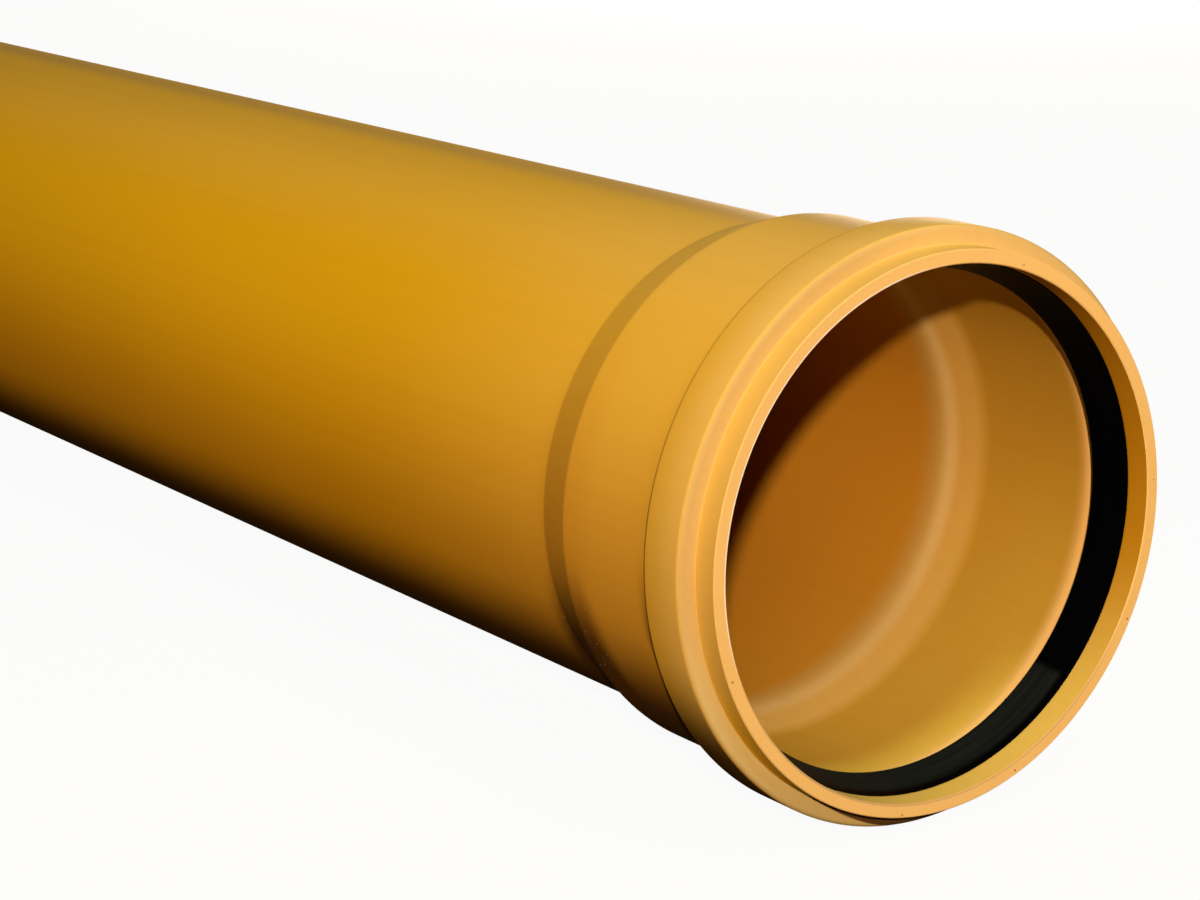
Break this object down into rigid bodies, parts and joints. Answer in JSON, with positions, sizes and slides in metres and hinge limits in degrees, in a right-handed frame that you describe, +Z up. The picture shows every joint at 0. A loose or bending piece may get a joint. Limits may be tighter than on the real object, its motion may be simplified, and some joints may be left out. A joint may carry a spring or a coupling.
{
  "type": "sewer pipe",
  "caption": "Straight PVC sewer pipe with a belled socket, a collar that holds a rubber lip seal, and a chamfered spigot end; joins to the next pipe by pushing in.",
  "frame": {"origin": "on the floor, under the middle of the length", "axes": "+X from the spigot to the socket's mouth, +Z up; the pipe's axis rises towards the mouth by about 0.6 degrees, because the pipe lies on its collar and on its spigot's end"},
  "size_m": [1.0756, 0.1806, 0.1807],
  "materials": {
    "pipe": "satin ochre",
    "seal": "black, slightly greasy sheen"
  },
  "bodies": {
    "root": {"pipe": "pipe", "seal_ring": "seal"}
  },
  "joints": []
}
